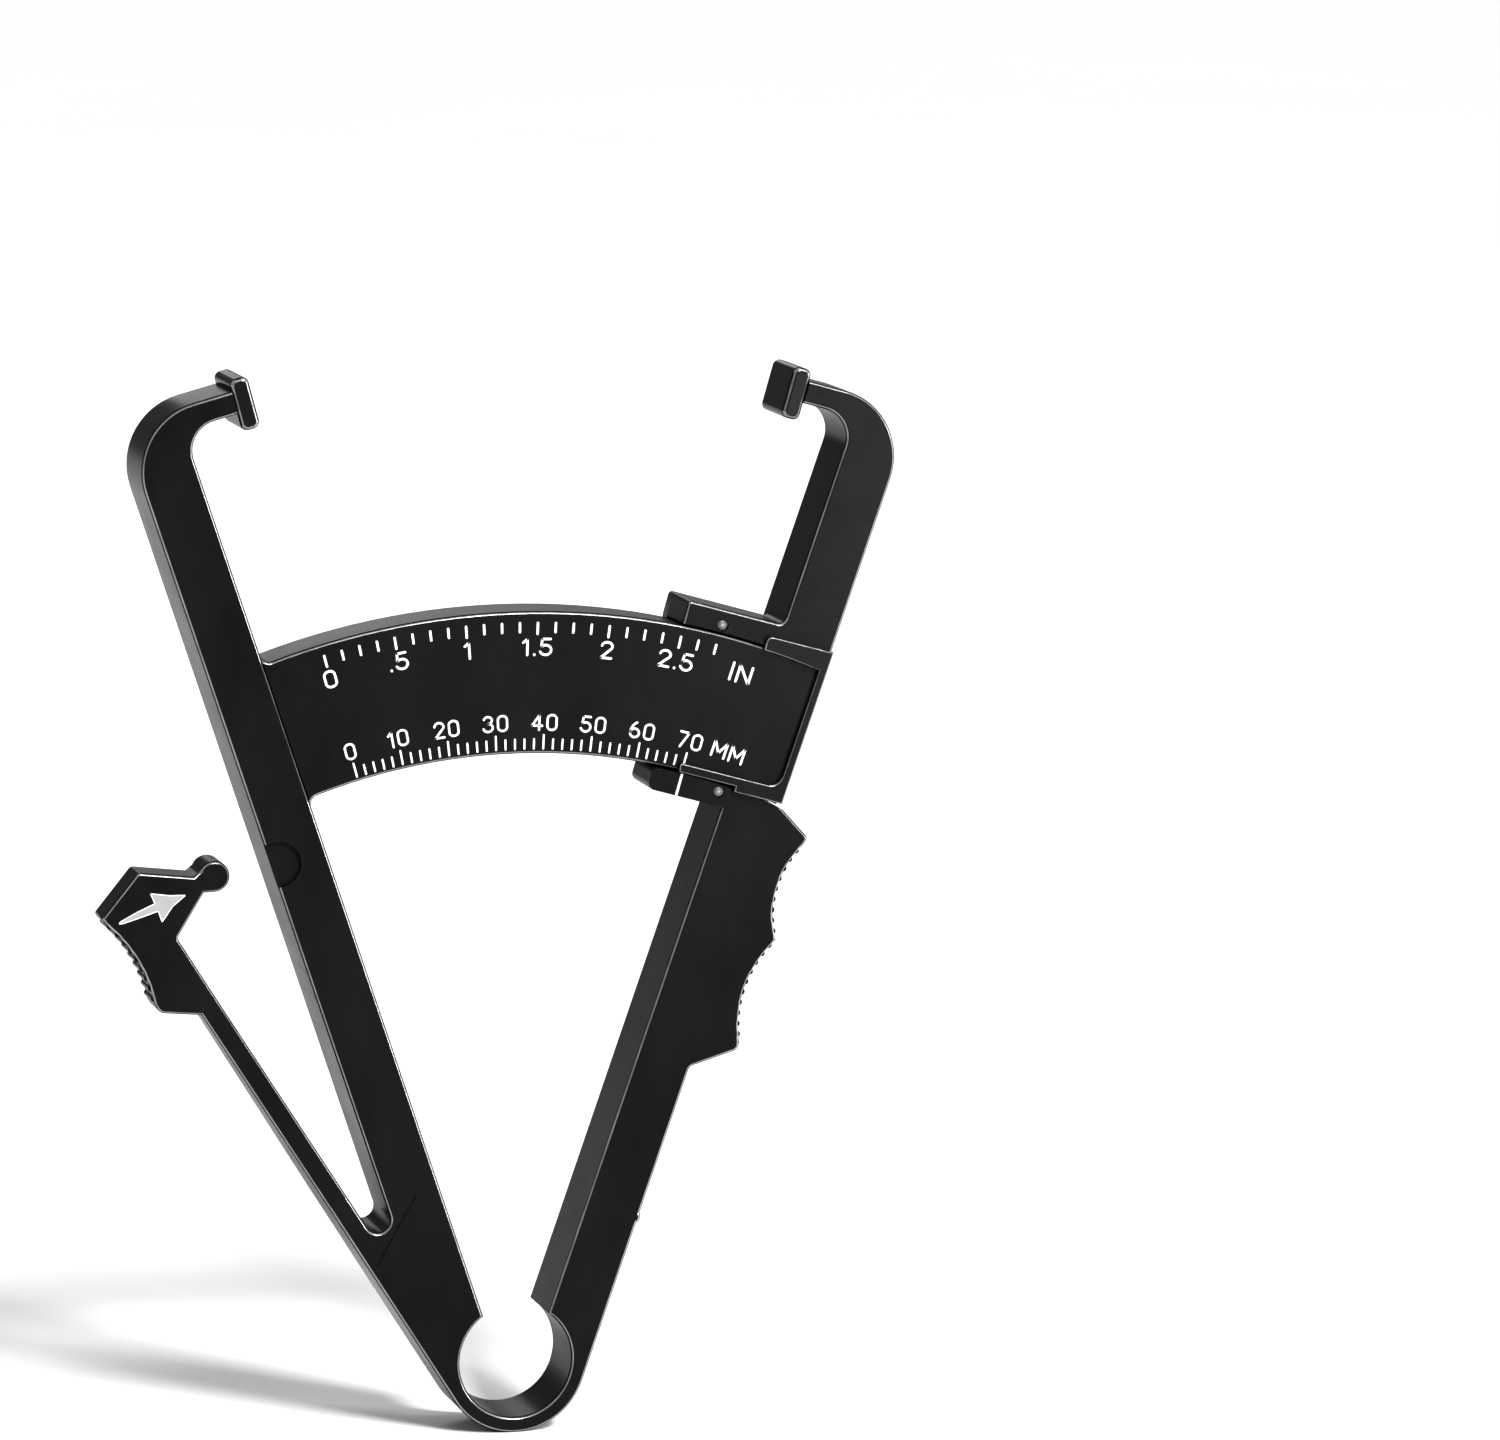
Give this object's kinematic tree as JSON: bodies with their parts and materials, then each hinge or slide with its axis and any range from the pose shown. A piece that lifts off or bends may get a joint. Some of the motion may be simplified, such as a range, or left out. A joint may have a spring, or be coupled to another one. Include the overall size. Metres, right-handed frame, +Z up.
{
  "type": "skinfold caliper",
  "caption": "Hand-squeezed skinfold caliper: sprung arms on an open ring, rounded jaw pads, a curved scale plate sliding through a window, and a springy thumb lever.",
  "frame": {"origin": "centre of the open ring at the foot of the arms, which the moving arm turns about, half way through the thickness", "axes": "+Z up between the two arms, +Y away from the face with the printed scales, +X from the fixed arm toward the moving arm"},
  "size_m": [0.1033, 0.0113, 0.1382],
  "materials": {
    "satin_black": "satin moulded ABS, fine texture",
    "jaw_black": "satin moulded ABS, a little smoother",
    "frame_black": "satin moulded ABS",
    "pin_grey": "grey satin pin heads"
  },
  "bodies": {
    "fixed_side": {"fixed_arm": "satin_black", "scale_plate": "satin_black", "fixed_jaw_pad": "jaw_black", "ring_spring": "satin_black", "lever_flexure": "satin_black"},
    "moving_side": {"moving_arm": "satin_black", "moving_jaw_pad": "jaw_black", "lower_guide": "satin_black", "guide_keeper": "satin_black", "window_frame": "frame_black", "upper_guide_pin": "pin_grey", "lower_guide_pin": "pin_grey"},
    "thumb_lever": {"lever_beam": "satin_black", "thumb_head": "satin_black"}
  },
  "joints": [
    {"name": "jaw_hinge", "type": "hinge", "parent": "fixed_side", "child": "moving_side", "pos_m": [0, 0, 0], "axis": [0, -1, 0], "range_deg": [0, 31.09], "stiffness_Nm_per_rad": 0.5, "deforming": ["ring_spring"]},
    {"name": "lever_press", "type": "hinge", "parent": "fixed_side", "child": "thumb_lever", "pos_m": [-0.01841, 0, 0.01942], "axis": [0, 1, 0], "range_deg": [0, 5.67], "stiffness_Nm_per_rad": 0.5, "deforming": ["lever_flexure"]}
  ]
}
